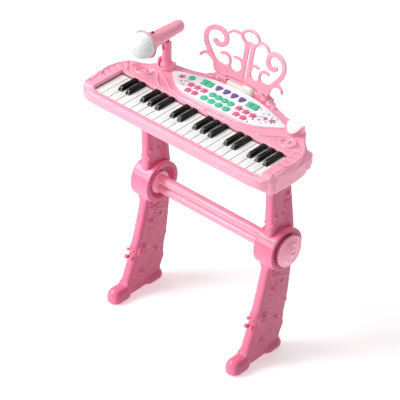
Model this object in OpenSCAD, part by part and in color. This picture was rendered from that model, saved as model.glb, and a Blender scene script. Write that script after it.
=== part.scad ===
// Toy electronic keyboard on a two-legged stand, with a scrollwork music rest and a microphone.
// Millimetres, +Z up, +X to the player's right, +Y away from the player.
// Lengths along Y are laid out from the front edge of the white keys. placed() then shifts the whole
// so that the origin is the middle of the footprint box, at floor level.

/* [Keys] */
// Distance between neighbouring white keys
key_pitch = 18; // [17.8:0.1:18]
// Gap between neighbouring keys
key_gap = 0.6; // [0.5:0.1:0.8]
// Height of the white keys' tops above the floor
key_level = 450; // [450:1:450]
// Length of white key that shows in front of the casing
key_show = 72; // [70:1:72]
// Front edge of the black keys, behind the front edge of the white keys
black_front = 30; // [28:1:34]
// Width of a black key at its foot
black_w = 10; // [9:0.5:10]
// Height of a black key above the white keys
black_rise = 6.6; // [5:0.2:7]
// Distance of the hinge line behind the front edge of the white keys
hinge_y = 110; // [110:1:112]

/* [Casing] */
// Depth of the bar in front of the keys
front_bar = 18; // [18:1:20]
// Rearmost point of the casing
casing_back = 187; // [187:1:189]
// Height of the casing's lower edge above the floor
casing_foot = 424; // [424:1:424]
// Height of the seam between the two casing shells
seam_level = 437; // [437:1:437]
// Height of the casing's top face
casing_top = 452; // [452:1:452]
// Thickness of the casing walls
wall = 2.5; // [2:0.1:3]
// Distance of the two cups from the middle
cup_x = 152.5; // [152:0.5:153]
// Distance of the cups behind the front edge of the white keys
cup_y = 141; // [140:1:142]

/* [Panel and buttons] */
// Highest point of the domed control panel
panel_top = 460; // [459:0.5:461]
// Radius of the panel's dome
panel_radius = 1445; // [1400:5:1500]
// How far a button stands above the panel
button_rise = 2.6; // [1.8:0.2:3]
// Gap around a button in the panel
button_gap = 0.35; // [0.3:0.05:0.5]

/* [Music rest] */
// Thickness of the scrollwork plate
rest_t = 3.2; // [2.8:0.2:3.6]
// Angle at which the rest leans back
rest_lean = 12.7; // [10:0.1:15]
// Angle at which each wing folds forward
rest_fold = 9; // [7:0.5:9]
// Distance of the spine's foot behind the front edge of the white keys
rest_y = 180; // [180:0.5:181]

/* [Microphone] */
// Height of the microphone's centre line
mic_level = 525; // [524:1:526]
// Radius of the flared rim
mic_rim_r = 27; // [26:0.5:28]
// Radius of the grille
grille_r = 25; // [24:0.5:25]
// Radius of the post
post_r = 9; // [8:0.5:9]
// Height of the hinge under the microphone
tilt_level = 500; // [500:1:500]

/* [Stand] */
// Distance of each leg's middle plane from the middle
leg_x = 151; // [150:1:152]
// Thickness of a leg
leg_t = 22; // [20:1:22]
// Radius of the round collar half-way up each leg
collar_r = 42; // [41:1:42]
// Height of the collar's axis
collar_level = 227; // [226:1:228]
// Distance of the collar's axis behind the front edge of the white keys
collar_y = 104; // [103:1:105]
// Radius of one lobe of the crossbar
bar_r = 9.3; // [9:0.1:9.5]
// Radius of a foot pad
pad_r = 16.5; // [16:0.5:17]

/* [Hidden] */
$fn = 48;
fine = 72;
WHITE = 22;
// A black key stands after a white key unless the two notes are a semitone apart.
black_at = [for (i = [1:WHITE - 1]) if (i % 7 != 1 && i % 7 != 4) i];
BLACK = len(black_at);
function two_digits(n) = str(n < 10 ? "0" : "", n);
white_names = [for (i = [1:WHITE]) str("white_key_", two_digits(i))];
black_names = [for (i = [1:BLACK]) str("black_key_", two_digits(i))];

// Keys
bed_w = WHITE * key_pitch;
key_t = 3.5;
key_skirt = 12;
key_step_y = 72.8;
key_under = 3;
hinge_z = key_level - 8.5;
hinge_r = 1.5;
saddle_r = 1.9;
black_slope = 4.5;
black_taper = 1;

// Casing
plate_under = casing_top - wall;
window_gap = 0.9;
edge = 0.01;
casing_mid = (casing_back - front_bar) / 2;
tray_front = -3;

cup_r = 17.5;
petal_top = 468.5;
saddle_low = 457;
saddle_cut_r = 17.2;
// X, Y, radius and lower end of each rounded corner
corner_rounds = [
    [210, 106, 9.5, 430], [217, 96, 8, 430], [219.8, 0.5, 4.6, 424.5], [222.6, 10.5, 4.2, 424.5]
];
// X, Y and radius of each scallop beside the bracket
bracket_scallops = [[71, 172.6, 8], [57, 178, 7.5]];
rim_rise = 2.2;
rim_w = 2.4;
socket_r = 9;

// Battery bay, loudspeaker and the screw that holds the battery door
bay_low = [-54, 122];
bay_high = [54, 166];
bay_wall = 2;
door_screw = [0, 161.5];
speaker_at = [105, 146];
speaker_r = 24;

// Control panel, buttons and circuit board
panel_wall = 1.5;
panel_t = 2;
board_top = 449.2;
board_t = 1.6;
button_foot = board_top + 1.2;
far = 400;

// Rest
rest_z = 466;
rest_foot = 2;
tab_u = 45;
tab_w = 12;
bracket_top = 467.4;
lamp_half = 33.3;
lamp_r = 7.9;
lamp_y = 172.4;
lamp_z = 457.5;
dome_r = 14.2;
dome_z = 463.5;
rest_top = 101.6;

// Microphone and post
rim_y = 85;
grille_y = 81.5;
switch_y = 107;
tongue_t = 5;
tail_r = 12;
lip = 1.8;
fork_gap = 5.8;
pin_r = 2;
peg_r = 7;
peg_foot = 441;
skirt_r = 13.6;
skirt_h = 15;

// Stand
leg_in = leg_x - leg_t / 2;
collar_in = 130;
collar_out = 174;
recess_r = 32;
recess_depth = 12;
cap_r = 31;
cap_rise = 6;
cap_edge = 5;
cap_well_r = 34;
cap_well = 4;
neck_r = 25;
neck_long = cap_well + 3;
web_t = 6;
bar_levels = [213, 233];
flange_r = 22;
spigot_w = 13;
sole_level = 2.5;
toe_y = -6;
heel_y = 80;
pad_long = 18;
mid_y = (rest_y + rest_top * sin(rest_lean) + rest_t / 2 * cos(rest_lean) + toe_y - pad_r) / 2;

// Screws
screw_r = 1.4;
pilot_r = 1.46;
head_r = 3.2;
boss_r = 4.2;
casing_screws = [[212, 14], [214, 60], [66, 173.5]];

// Points of a smooth curve through p, with n steps between two points
function blend(a, b, c, d, t) =
    0.5 * (2 * b + (c - a) * t + (2 * a - 5 * b + 4 * c - d) * t * t + (3 * b - a - 3 * c + d) * t * t * t);
function smooth(p, n) = let (m = len(p) - 1) concat(
    [for (i = [0:m - 1]) for (k = [0:n - 1])
        blend(p[max(i - 1, 0)], p[i], p[i + 1], p[min(i + 2, m)], k / n)],
    [p[m]]
);
// A half outline from the middle, round to the middle again, closed with its mirror image
function both_sides(p) = concat(p, [for (i = [len(p) - 1:-1:0]) if (p[i].x > edge) [-p[i].x, p[i].y]]);
// An outline drawn in by t all round, about a middle point on the Y axis
function drawn_in(p, t, w, mid, d) = [for (q = p) [q.x * (1 - t / w), mid + (q.y - mid) * (1 - t / d)]];
function heading(c, i) = let (v = c[min(i + 1, len(c) - 1)] - c[max(i - 1, 0)]) v / norm(v);
function aside(c, i) = [-heading(c, i).y, heading(c, i).x];
// Half a circle about the end of a curve, from its left to its right side
function cap_arc(c, i, w, ahead) =
    [for (a = [30:30:150]) c[i] + w / 2 * (ahead * cos(a) * aside(c, i) + ahead * sin(a) * heading(c, i))];
// Outline of a band of width w along the curve c, with round ends
function ribbon(c, w) = let (m = len(c) - 1) concat(
    [for (i = [0:m]) c[i] + w / 2 * aside(c, i)],
    cap_arc(c, m, w, 1),
    [for (i = [m:-1:0]) c[i] - w / 2 * aside(c, i)],
    cap_arc(c, 0, w, -1)
);

bar_front_half = [[0, -front_bar], [150, -front_bar], [190, -17.5], [208, -14], [218, -4], [223.5, 10]];
tray_front_half = [
    [0, tray_front], [150, tray_front], [190, tray_front], [208, tray_front], [219, 4], [224, 16]
];
casing_side_half = [[226, 30], [227, 50], [226.5, 68], [223.5, 87], [216, 102], [204, 114.5]];
casing_back_half = [
    [188, 128], [176, 142], [166, 154], [150, 160], [115, 166], [85, 176], [50, 184.5], [0, casing_back]
];
casing_half_w = 227;
casing_half_d = (casing_back + front_bar) / 2;
tray_half_d = (casing_back - tray_front) / 2;
casing_outline = both_sides(smooth(concat(bar_front_half, casing_side_half, casing_back_half), 3));
casing_inside = drawn_in(casing_outline, wall, casing_half_w, casing_mid, casing_half_d);
tray_outline = both_sides(smooth(concat(tray_front_half, casing_side_half, casing_back_half), 3));
tray_inside = drawn_in(tray_outline, wall, casing_half_w, casing_back - tray_half_d, tray_half_d);
panel_tip = 134.4;
panel_front_half = [
    [0, 93], [40, 93.4], [70, 95.5], [92, 102], [108, 112], [121, 123], [130, 132], [panel_tip, 139]
];
panel_back_half = [[panel_tip, 139], [121, 144], [100, 149.5], [75, 156], [45, 161.5], [0, 164]];
panel_half = concat(
    smooth(panel_front_half, 3),
    [for (q = smooth(panel_back_half, 3)) if (q.x < panel_tip - edge) q]
);
panel_outline = both_sides(panel_half);
panel_mid = 128.5;
panel_half_d = 35.5;
panel_inside = panel_drawn_in(panel_wall);
function panel_drawn_in(t) = drawn_in(panel_outline, t, panel_tip, panel_mid, panel_half_d);

// Button sizes, and their places on the panel
power_r = 6;
rhythm_r = 6.6;
star_r = 7.4;
power_at = [-87.4, 138.5];
rocker_at = 53.2;
rocker_y = 142;
mode_at = [for (x = [-27.2, -9.1, 9.1, 27.2]) [x, 142.5]];
rhythm_at = concat(
    [for (x = [-21.2, -7.1, 7.1, 21.2]) [x, 120]],
    [for (x = [-26, -8.7, 8.7, 26]) [x, 102.4]]
);
sound_half = [[41.3, 120], [57.2, 120], [73, 120], [49.2, 103], [65, 103]];
sound_at = concat(sound_half, [for (q = sound_half) [-q.x, q.y]]);

module placed() {
    translate([0, -mid_y, 0])
        children();
}

// The same shape on both sides of the middle
module pair() {
    for (side = [0, 1])
        mirror([side, 0, 0])
            children();
}

// A straight prism along X, from an outline in Y and Z
module across(x0, x1, outline) {
    translate([x0, 0, 0])
        rotate([90, 0, 90])
            linear_extrude(x1 - x0)
                polygon(outline);
}

module block(low, high) {
    translate(low)
        cube(high - low);
}

module rod_x(x0, x1, y, z, r) {
    translate([x0, y, z])
        rotate([0, 90, 0])
            cylinder(r = r, h = x1 - x0);
}

// ---- Keys ----

function boundary_x(i) = (i - WHITE / 2) * key_pitch;
function has_black(i) = i > 1 && i < WHITE && i % 7 != 1 && i % 7 != 4;

// Side view of a white key: playing face, front skirt, lowered tail and the saddle that rocks on the rail
module white_profile(x0, x1) {
    under = key_level - key_under;
    across(x0, x1, [
        [0.4, key_level - key_skirt], [0.4, key_level], [key_step_y - 1, key_level], [key_step_y, under],
        [hinge_y + 6, under], [hinge_y + 6, hinge_z - 1.5], [hinge_y - 6, hinge_z - 1.5],
        [hinge_y - 7, key_level - key_t], [2.4, key_level - key_t], [2.4, key_level - key_skirt]
    ]);
}

module saddle(x0, x1) {
    rod_x(x0 - 1, x1 + 1, hinge_y, hinge_z, saddle_r);
    block([x0 - 1, hinge_y - saddle_r, hinge_z - 4], [x1 + 1, hinge_y + saddle_r, hinge_z]);
}

module white_key(i) {
    x0 = boundary_x(i - 1) + key_gap / 2;
    x1 = boundary_x(i) - key_gap / 2;
    notch = black_w / 2 + 0.5;
    notch_y = black_front - 0.6;
    color("white")
        difference() {
            white_profile(x0, x1);
            saddle(x0, x1);
            if (has_black(i - 1))
                block([x0 - 1, notch_y, key_level - far], [boundary_x(i - 1) + notch, far, key_level + 1]);
            if (has_black(i))
                block([boundary_x(i) - notch, notch_y, key_level - far], [x1 + 1, far, key_level + 1]);
        }
}

module black_key(k) {
    x = boundary_x(black_at[k - 1]);
    top = key_level + black_rise;
    under = key_level - key_under;
    color("black")
        difference() {
            across(x - black_w / 2, x + black_w / 2, [
                [black_front, key_level - key_t], [black_front, key_level + 0.5],
                [black_front + black_slope, top], [key_show - 0.2, top], [key_show - 0.2, under],
                [hinge_y + 6, under], [hinge_y + 6, hinge_z - 1.5],
                [hinge_y - 6, hinge_z - 1.5], [hinge_y - 7, key_level - key_t]
            ]);
            saddle(x - black_w / 2, x + black_w / 2);
            for (side = [-1, 1])
                translate([x + side * (black_w / 2), 0, key_level])
                    rotate([0, side * -atan(black_taper / black_rise), 0])
                        block([side > 0 ? 0 : -4, 0, 0], [side > 0 ? 4 : 0, key_show, black_rise + 3]);
        }
}

// ---- Casing ----

// Everything under a low dome that is highest along the middle, lowered by drop
module under_dome(drop) {
    step = 8;
    half = [for (k = [-18:18]) [k * step, panel_z(k * step) - drop]];
    translate([0, far, 0])
        rotate([90, 0, 0])
            linear_extrude(far)
                polygon(concat(half, [[18 * step, key_level], [-18 * step, key_level]]));
}

// Ring whose rim rises to two petals, one towards the middle and one outboard, with a low saddle between
module cup() {
    translate([cup_x, cup_y, 0])
        difference() {
            translate([0, 0, plate_under])
                cylinder(r = cup_r, h = petal_top - plate_under, $fn = fine);
            translate([0, 0, casing_top])
                cylinder(r = cup_r - 3, h = 40, $fn = fine);
            translate([0, -30, saddle_low + saddle_cut_r])
                rotate([-90, 0, 0])
                    cylinder(r = saddle_cut_r, h = 60, $fn = fine);
        }
}

// Scalloped corners: two lobes at the back and two flutes at the front, on the right side
module corner_lobes(low, high) {
    for (c = corner_rounds) {
        foot = max(low, c[3]);
        translate([c.x, c.y, foot])
            cylinder(r = c.z, h = high - foot);
    }
}

// Low wall around the control panel
module panel_rim() {
    difference() {
        translate([0, 0, casing_top - 0.5])
            linear_extrude(rim_rise + 0.5)
                polygon(panel_drawn_in(-rim_w));
        translate([0, 0, casing_top - 1])
            linear_extrude(rim_rise + 2)
                polygon(panel_drawn_in(-0.3));
    }
}

// Raised block behind the panel that holds the lamp and the music rest
module rest_bracket() {
    difference() {
        union() {
            block([-68, 168.5, plate_under], [68, 183.5, bracket_top]);
            pair()
                for (c = bracket_scallops)
                    translate([c.x, c.y, plate_under])
                        cylinder(r = c.z, h = casing_top + 6 - plate_under);
        }
        block([-lamp_half - 0.4, lamp_y - 12, casing_top], [lamp_half + 0.4, lamp_y, bracket_top + 1]);
        pair()
            rest_tab(0.4);
    }
}

// Long lamp with round ends, made larger by gap on every side to give its seat
module lamp_bar(gap) {
    rod_x(lamp_r - lamp_half, lamp_half - lamp_r, lamp_y, lamp_z, lamp_r + gap);
    pair()
        translate([lamp_half - lamp_r, lamp_y, lamp_z])
            sphere(r = lamp_r + gap);
}

// Tab under one wing of the music rest, made larger by gap on every side to give its slot
module rest_tab(gap) {
    low = gap > 0 ? 456 : 457;
    translate([0, rest_y, 0])
        rotate([0, 0, -rest_fold])
            block([tab_u - tab_w / 2 - gap, -rest_t / 2 - gap, low],
                [tab_u + tab_w / 2 + gap, rest_t / 2 + gap, rest_z + 5]);
}

module upper_casing() {
    placed()
        color("pink")
            difference() {
                union() {
                    difference() {
                        translate([0, 0, seam_level])
                            linear_extrude(casing_top - seam_level)
                                polygon(casing_outline);
                        translate([0, 0, seam_level - 1])
                            linear_extrude(plate_under - seam_level + 1)
                                polygon(casing_inside);
                    }
                    pair() {
                        cup();
                        corner_lobes(seam_level, casing_top - 1.5);
                    }
                    panel_rim();
                    rest_bracket();
                    pair()
                        for (p = casing_screws)
                            translate([p.x, p.y, seam_level])
                                cylinder(r = boss_r, h = casing_top - 1 - seam_level);
                    translate([-cup_x, cup_y, seam_level + 1])
                        cylinder(r = socket_r, h = casing_top - seam_level - 1);
                }
                block([-bed_w / 2 - window_gap, -1, seam_level - 2],
                    [bed_w / 2 + window_gap, key_show + 0.9, far + 60]);
                translate([0, 0, plate_under - 1])
                    linear_extrude(wall + 2)
                        polygon(panel_inside);
                pair()
                    for (p = casing_screws)
                        translate([p.x, p.y, seam_level - 1])
                            cylinder(r = pilot_r, h = 12);
                translate([-cup_x, cup_y, peg_foot - 1])
                    cylinder(r = peg_r + 0.08, h = 20, $fn = fine);
                lamp_bar(0.3);
            }
}

module lower_casing() {
    floor_top = casing_foot + wall;
    placed()
        color("hotpink")
            difference() {
                union() {
                    difference() {
                        union() {
                            translate([0, 0, casing_foot])
                                linear_extrude(seam_level - casing_foot)
                                    polygon(tray_outline);
                            translate([0, 0, seam_level - wall])
                                linear_extrude(wall)
                                    polygon(casing_outline);
                        }
                        translate([0, 0, floor_top])
                            linear_extrude(seam_level - casing_foot)
                                polygon(tray_inside);
                    }
                    pair()
                        corner_lobes(casing_foot, seam_level);
                    // Rail that the keys rock on
                    block([-bed_w / 2, hinge_y - 0.8, floor_top - 1], [bed_w / 2, hinge_y + 0.8, hinge_z]);
                    rod_x(-bed_w / 2, bed_w / 2, hinge_y, hinge_z, hinge_r);
                    // Sockets for the legs
                    pair()
                        block([leg_in, 76.5, floor_top - 1], [leg_in + leg_t, 121, 438.5]);
                    // Battery bay
                    block([bay_low.x - bay_wall, bay_low.y - bay_wall, floor_top - 1],
                        [bay_high.x + bay_wall, bay_high.y + bay_wall, 445.5]);
                    // Pillars under the circuit board
                    pair()
                        for (y = [123.5, 158])
                            translate([72, y, floor_top - 1])
                                cylinder(r = 3.2, h = board_top - board_t - floor_top + 1);
                    pair()
                        for (p = casing_screws)
                            translate([p.x, p.y, floor_top - 1])
                                cylinder(r = boss_r, h = seam_level - floor_top + 1);
                    // Ring round the speaker
                    translate([speaker_at.x, speaker_at.y, floor_top - 1])
                        cylinder(r = speaker_r + 2.5, h = 7, $fn = fine);
                }
                pair()
                    block([leg_x - spigot_w / 2 - 0.2, 82.8, casing_foot - 1],
                        [leg_x + spigot_w / 2 + 0.2, 116.2, 436.5]);
                difference() {
                    block([bay_low.x, bay_low.y, casing_foot - 1], [bay_high.x, bay_high.y, 444]);
                    translate([door_screw.x, door_screw.y, floor_top + 0.2])
                        cylinder(r = boss_r, h = 20);
                    block([-4, door_screw.y, floor_top + 0.2], [4, bay_high.y + 1, 446]);
                }
                translate([door_screw.x, door_screw.y, casing_foot])
                    cylinder(r = pilot_r, h = 16);
                pair()
                    for (p = casing_screws) {
                        translate([p.x, p.y, casing_foot - 1])
                            cylinder(r = head_r + 0.3, h = 5);
                        translate([p.x, p.y, casing_foot - 1])
                            cylinder(r = screw_r + 0.3, h = 20);
                    }
                translate([speaker_at.x, speaker_at.y, floor_top])
                    cylinder(r = speaker_r + 0.3, h = 8, $fn = fine);
                for (x = [-16:8:16])
                    block([speaker_at.x + x - 1.5, speaker_at.y - 15, casing_foot - 1],
                        [speaker_at.x + x + 1.5, speaker_at.y + 15, floor_top + 1]);
            }
}

module battery_door() {
    placed()
        color("lightpink")
            difference() {
                block([bay_low.x + 0.3, bay_low.y + 0.3, casing_foot],
                    [bay_high.x - 0.3, bay_high.y - 0.3, casing_foot + wall]);
                translate([door_screw.x, door_screw.y, casing_foot - 1]) {
                    cylinder(r = screw_r + 0.3, h = 6);
                    cylinder(r = head_r + 0.2, h = 2.4);
                }
            }
}

// ---- Control panel and buttons ----

function panel_z(x) = panel_top - x * x / (2 * panel_radius);

module star(r) {
    polygon([for (k = [0:9]) let (a = 90 + k * 36, q = k % 2 == 0 ? r : 0.56 * r) [q * cos(a), q * sin(a)]]);
}

module teardrop(g) {
    half = [[3.5, 7 + g], [7 + g, 4.5 + g], [2 + g, -7 - g]];
    polygon(concat(half, [for (i = [2:-1:0]) [-half[i].x, half[i].y]]));
}

// Rectangle whose two short ends are waves
module wave(g) {
    steps = 8;
    function at_end(x, k) = [x + 1.4 * sin(360 * k / steps), (k / steps - 0.5) * (14.4 + 2 * g)];
    polygon(concat(
        [for (k = [0:steps]) at_end(12 + g, k)],
        [for (k = [steps:-1:0]) at_end(-12 - g, k)]
    ));
}

module at_each(list) {
    for (p = list)
        translate([p.x, p.y, 0])
            children();
}

module button_holes(g) {
    at_each([power_at])
        circle(r = power_r + g);
    at_each([[-rocker_at, rocker_y], [rocker_at, rocker_y]])
        wave(g + 0.3);
    at_each(mode_at)
        teardrop(g);
    at_each(rhythm_at)
        circle(r = rhythm_r + g);
    at_each(sound_at)
        star(star_r + 1.3 * g);
}

module control_panel() {
    placed()
        color("white")
            difference() {
                intersection() {
                    translate([0, 0, casing_top])
                        linear_extrude(20)
                            polygon(panel_outline);
                    under_dome(0);
                }
                intersection() {
                    translate([0, 0, casing_top - 1])
                        linear_extrude(20)
                            polygon(panel_inside);
                    under_dome(panel_t);
                }
                translate([0, 0, casing_top - 1])
                    linear_extrude(20)
                        button_holes(button_gap);
            }
}

// A button standing on its switch, from the board up to just above the panel
module cap_at(p) {
    translate([p.x, p.y, button_foot])
        linear_extrude(panel_z(p.x) + button_rise - button_foot)
            children();
}

module power_button() {
    placed()
        color("mediumaquamarine")
            cap_at(power_at)
                circle(r = power_r);
}

module rocker(x) {
    placed()
        color("mediumaquamarine")
            cap_at([x, rocker_y])
                wave(0);
}

module mode_buttons() {
    placed()
        color("slateblue")
            for (p = mode_at)
                cap_at(p)
                    teardrop(0);
}

module rhythm_buttons() {
    placed()
        color("mediumaquamarine")
            for (p = rhythm_at)
                cap_at(p)
                    circle(r = rhythm_r);
}

module sound_buttons() {
    placed()
        color("palevioletred")
            for (p = sound_at)
                cap_at(p)
                    star(star_r);
}

module circuit_board() {
    placed()
        color("darkgreen") {
            block([-84, 96, board_top - board_t], [84, 163, board_top]);
            block([-30, 128, board_top - board_t - 1.5], [-14, 140, board_top - board_t]);
        }
}

module speaker() {
    placed()
        color("dimgray")
            translate([speaker_at.x, speaker_at.y, casing_foot + wall])
                rotate_extrude($fn = fine)
                    polygon([
                        [0, 2], [9, 2], [20, 0], [speaker_r, 0], [speaker_r, 2.5], [14, 10], [14, 13], [0, 13]
                    ]);
}

// ---- Lamps ----

module lamp_lenses() {
    placed()
        color("whitesmoke") {
            lamp_bar(0);
            translate([cup_x, cup_y, casing_top + 0.1])
                cylinder(r = dome_r, h = dome_z - casing_top - 0.1);
            intersection() {
                translate([cup_x, cup_y, dome_z])
                    sphere(r = dome_r);
                block([cup_x - dome_r, cup_y - dome_r, dome_z],
                    [cup_x + dome_r, cup_y + dome_r, dome_z + dome_r]);
            }
        }
}

// ---- Music rest ----

module stroke(p, w) {
    polygon(ribbon(smooth(p, 5), w));
}

// Right wing of the scrollwork: across from the spine, and up from the foot
module wing_outline() {
    difference() {
        union() {
            polygon(concat(
                [[-0.6, rest_foot], [63, rest_foot], [67, 8], [69, 17], [76, 27], [66, 26.5]],
                smooth([
                    [60, 22.5], [50, 20.5], [42, 21], [38, 24], [34, 22],
                    [30, 17.5], [22, 15.5], [15, 18], [11, 24]
                ], 3),
                [[11.5, 78], [-0.6, 78]]
            ));
            stroke([[10, 31], [13, 38], [19, 41], [28, 41]], 4.8);
            stroke([[36, 20], [35, 28], [37.5, 36], [43, 40.5], [50, 41.5], [55.5, 40]], 5);
            stroke([[70, 24], [79, 35], [88, 47], [92.5, 60], [90, 72], [81, 80], [69, 82.5], [57, 79],
                [50, 69.5], [50.5, 60], [57, 54.5], [66, 54], [72, 57.5]], 9.2);
            stroke([[76, 26.5], [86, 30.5], [93, 27.5], [97, 22.5]], 5);
            stroke([[48, 80], [41, 86.5], [31, 88.5], [19, 85]], 4.8);
            stroke([[9, 68], [12, 76], [19.5, 83], [18.5, 91], [11, 97], [2, 99], [-3, 99]], 5.2);
        }
        translate([-5, 8])
            square([7, 62]);
    }
}

module music_rest() {
    placed()
        color("pink") {
            translate([0, rest_y, rest_z])
                rotate([-rest_lean, 0, 0])
                    pair()
                        rotate([0, 0, -rest_fold])
                            rotate([90, 0, 0])
                                translate([0, 0, -rest_t / 2])
                                    linear_extrude(rest_t)
                                        wing_outline();
            pair()
                rest_tab(0);
        }
}

// ---- Microphone ----

module along_y(y) {
    translate([-cup_x, y, mic_level])
        rotate([-90, 0, 0])
            children();
}

// Outer half-section of the microphone: radius and distance along its axis from the rim
flare = smooth([
    [mic_rim_r, 0], [mic_rim_r, 2.5], [22.5, 6], [18.3, 12], [15.6, 21], [14, 34], [13, 56], [tail_r, 84]
], 3);
round_end = [for (a = [0:10:90]) [tail_r * cos(a), 86 + tail_r * sin(a)]];

module microphone_body() {
    placed()
        color("lightpink")
            difference() {
                union() {
                    along_y(rim_y)
                        rotate_extrude($fn = fine)
                            polygon(concat([[0, 0]], flare, round_end));
                    rod_x(-cup_x - tongue_t / 2, -cup_x + tongue_t / 2, cup_y, tilt_level, 6);
                    block([-cup_x - tongue_t / 2, cup_y - 6, tilt_level],
                        [-cup_x + tongue_t / 2, cup_y + 6, mic_level - 8]);
                }
                along_y(rim_y - 1)
                    cylinder(r = grille_r + 0.2, h = lip + 1, $fn = fine);
                rod_x(-cup_x - 9, -cup_x + 9, cup_y, tilt_level, pin_r + 0.06);
                at_switch()
                    block([-3, -5, 13], [3, 5, 20]);
            }
}

module microphone_grille() {
    placed()
        color("white")
            difference() {
                along_y(grille_y)
                    sphere(r = grille_r, $fn = fine);
                block([-cup_x - 40, rim_y + lip - 0.3, 480], [-cup_x + 40, rim_y + 40, 570]);
            }
}

module at_switch() {
    translate([-cup_x, switch_y, mic_level])
        children();
}

module microphone_switch() {
    placed()
        color("dimgray")
            at_switch() {
                block([-2.6, -4.6, 13.4], [2.6, 1.4, 15.6]);
                block([-1.6, -3.2, 15.6], [1.6, 0, 18.4]);
            }
}

module microphone_post() {
    placed()
        color("hotpink")
            difference() {
                union() {
                    translate([-cup_x, cup_y, peg_foot])
                        cylinder(r = peg_r, h = casing_top - peg_foot + 1, $fn = fine);
                    translate([-cup_x, cup_y, casing_top + 0.3])
                        rotate_extrude($fn = fine)
                            polygon([
                                [0, 0], [skirt_r, 0], [skirt_r - 1.4, skirt_h / 2], [post_r, skirt_h],
                                [post_r, tilt_level - casing_top - 0.3], [0, tilt_level - casing_top - 0.3]
                            ]);
                    rod_x(-cup_x - post_r, -cup_x + post_r, cup_y, tilt_level, post_r);
                }
                difference() {
                    block([-cup_x - fork_gap / 2, cup_y - 10, tilt_level - 8],
                        [-cup_x + fork_gap / 2, cup_y + 10, mic_level]);
                    rod_x(-cup_x - 5, -cup_x + 5, cup_y, tilt_level, pin_r);
                }
            }
}

// ---- Stand ----

upper_leg_outline = [
    [76, casing_foot], [76, 240], [137, 240], [135.5, 262], [130, 310], [125.5, 350], [121, casing_foot]
];
lower_front = smooth([
    [8, sole_level], [11, 19], [22, 46], [33.5, 74], [44, 104], [53.5, 134], [61, 160], [69, 191], [72, 225]
], 2);
lower_back = smooth([
    [135, 225], [134, 190], [132, 165], [129, 140], [125, 110], [120.5, 90], [114.5, 66], [116, 47],
    [111, 38], [105, 22], [108, sole_level]
], 2);

module upper_legs() {
    placed()
        color("palevioletred")
            pair() {
                difference() {
                    across(leg_in, leg_in + leg_t, upper_leg_outline);
                    rod_x(leg_in - 1, leg_in + leg_t + 1, collar_y, collar_level, collar_r + 0.1);
                }
                block([leg_x - spigot_w / 2, 84, 240], [leg_x + spigot_w / 2, 124, 276]);
                block([leg_x - spigot_w / 2, 83, casing_foot - 1], [leg_x + spigot_w / 2, 116, 436]);
            }
}

// Half-section of a foot pad, tall mm high
function pad_section(tall) = [
    [0, 0], [pad_r - 4, 0], [pad_r - 1, 1.5], [pad_r, 4.5], [pad_r, 0.4 * tall], [pad_r - 2, 0.65 * tall],
    [pad_r - 6, 0.86 * tall], [pad_r - 11, 0.97 * tall], [0, tall]
];

// Pad with round ends, from y to y + long
module foot_pad(y, long, tall) {
    half = pad_section(tall);
    for (end = [0, long])
        translate([leg_x, y + end, 0])
            rotate_extrude($fn = fine)
                polygon(half);
    translate([leg_x, y + long, 0])
        rotate([90, 0, 0])
            linear_extrude(long)
                polygon(concat(half, [for (i = [len(half) - 2:-1:1]) [-half[i].x, half[i].y]]));
}

module lower_legs() {
    placed()
        color("palevioletred")
            pair()
                difference() {
                    union() {
                        across(leg_in, leg_in + leg_t, concat(lower_front, lower_back));
                        rod_x(collar_in, collar_out, collar_y, collar_level, collar_r);
                        foot_pad(toe_y, pad_long, 29);
                        foot_pad(heel_y, pad_long, 22);
                    }
                    rod_x(collar_in - 1, collar_in + recess_depth, collar_y, collar_level, recess_r);
                    rod_x(collar_out - cap_well, collar_out + 1, collar_y, collar_level, cap_well_r);
                    block([leg_x - spigot_w / 2 - 0.2, 83.8, 239.8],
                        [leg_x + spigot_w / 2 + 0.2, 124.2, 280]);
                }
}

module crossbar() {
    end = collar_in + recess_depth;
    placed()
        color("pink") {
            for (z = bar_levels)
                rod_x(-end + 6, end - 6, collar_y, z, bar_r);
            block([-end + 6, collar_y - web_t / 2, bar_levels[0]],
                [end - 6, collar_y + web_t / 2, bar_levels[1]]);
            pair()
                rod_x(end - 7, end, collar_y, collar_level - 2, flange_r);
        }
}

module leg_caps() {
    crown_r = (cap_r * cap_r + cap_rise * cap_rise) / (2 * cap_rise);
    sweep = asin(cap_r / crown_r);
    placed()
        color("lightpink")
            pair()
                translate([collar_out - cap_well, collar_y, collar_level])
                    rotate([0, 90, 0])
                        rotate_extrude($fn = fine)
                            polygon(concat(
                                [[0, 0], [neck_r, 0], [neck_r, neck_long], [cap_r, neck_long]],
                                [for (k = [8:-1:0]) [crown_r * sin(k * sweep / 8),
                                    neck_long + cap_edge + cap_rise - crown_r + crown_r * cos(k * sweep / 8)]]
                            ));
}

// ---- Screws ----

module screw(p, head_z, head_h, long) {
    translate([p.x, p.y, head_z])
        cylinder(r = head_r, h = head_h);
    translate([p.x, p.y, head_z])
        cylinder(r = screw_r, h = long);
}

module screws() {
    placed()
        color("silver") {
            pair()
                for (p = casing_screws)
                    screw(p, casing_foot + 2, 2, 21);
            screw(door_screw, casing_foot, 1.4, 14);
        }
}

for (i = [1:WHITE])
    placed() white_key(i);
for (k = [1:BLACK])
    placed() black_key(k);
upper_casing();
lower_casing();
control_panel();
power_button();
rocker(-rocker_at);  // volume_rocker
rocker(rocker_at);  // tempo_rocker
mode_buttons();
rhythm_buttons();
sound_buttons();
music_rest();
lamp_lenses();
microphone_body();
microphone_grille();
microphone_switch();
microphone_post();
upper_legs();
lower_legs();
crossbar();
leg_caps();
circuit_board();
speaker();
battery_door();
screws();
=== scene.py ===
"""Looks of the toy electronic keyboard: materials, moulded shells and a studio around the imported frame."""
import math

import bmesh
import bpy
import numpy as np
from mathutils import Matrix, Vector
from mathutils.bvhtree import BVHTree
from mathutils.kdtree import KDTree


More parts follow.
